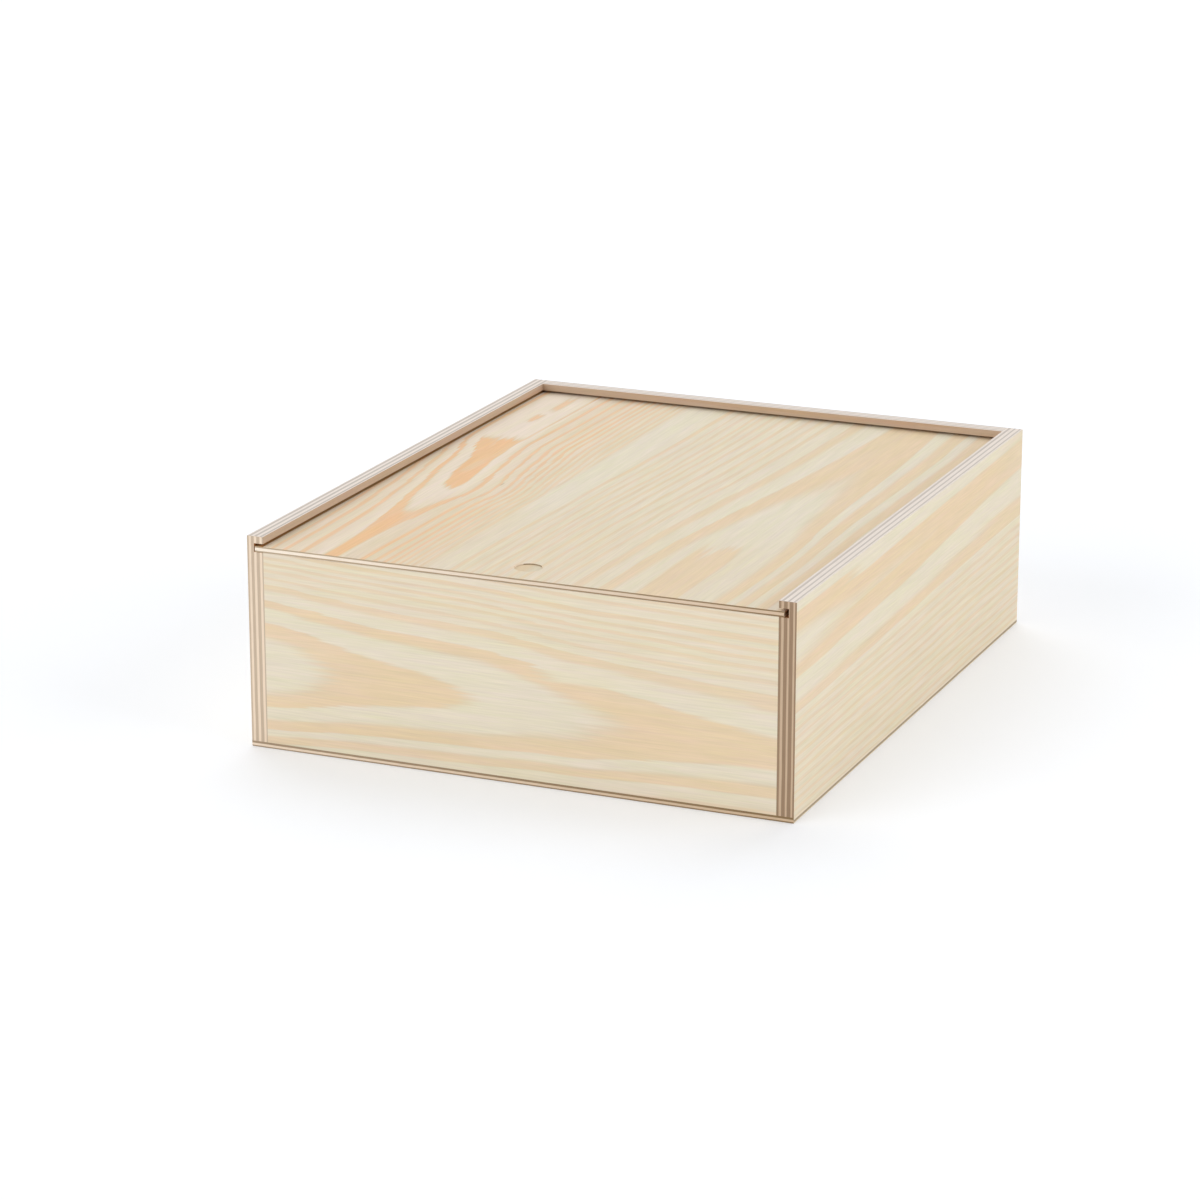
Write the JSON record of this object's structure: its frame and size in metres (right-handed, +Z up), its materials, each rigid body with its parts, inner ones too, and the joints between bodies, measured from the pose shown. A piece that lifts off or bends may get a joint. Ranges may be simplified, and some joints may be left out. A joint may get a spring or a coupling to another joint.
{
  "type": "sliding lid box",
  "caption": "Flat plywood box with a thin lid that slides out to the front in grooves, a round finger recess in the lid, and a planted base.",
  "frame": {"origin": "middle of the underside of the base, on the surface the box stands on", "axes": "+Z up; +Y from the front panel to the back panel, so the lid slides out along -Y; +X to the right as seen from the front"},
  "size_m": [0.29, 0.35, 0.11],
  "materials": {
    "wall_plywood": "sanded pine-faced plywood, seven plies, raw",
    "lid_plywood": "sanded pine-faced plywood, three plies, raw",
    "base_plywood": "sanded pine-faced plywood, three plies, raw",
    "brad_steel": "bright drawn wire"
  },
  "bodies": {
    "box": {"left_panel": "wall_plywood", "right_panel": "wall_plywood", "front_panel": "wall_plywood", "back_panel": "wall_plywood", "base_panel": "base_plywood", "base_brads": "brad_steel"},
    "lid": {"lid": "lid_plywood"}
  },
  "joints": [
    {"name": "lid_slide", "type": "slide", "parent": "box", "child": "lid", "axis": [0, -1, 0], "range_m": [0, 0.36]}
  ]
}
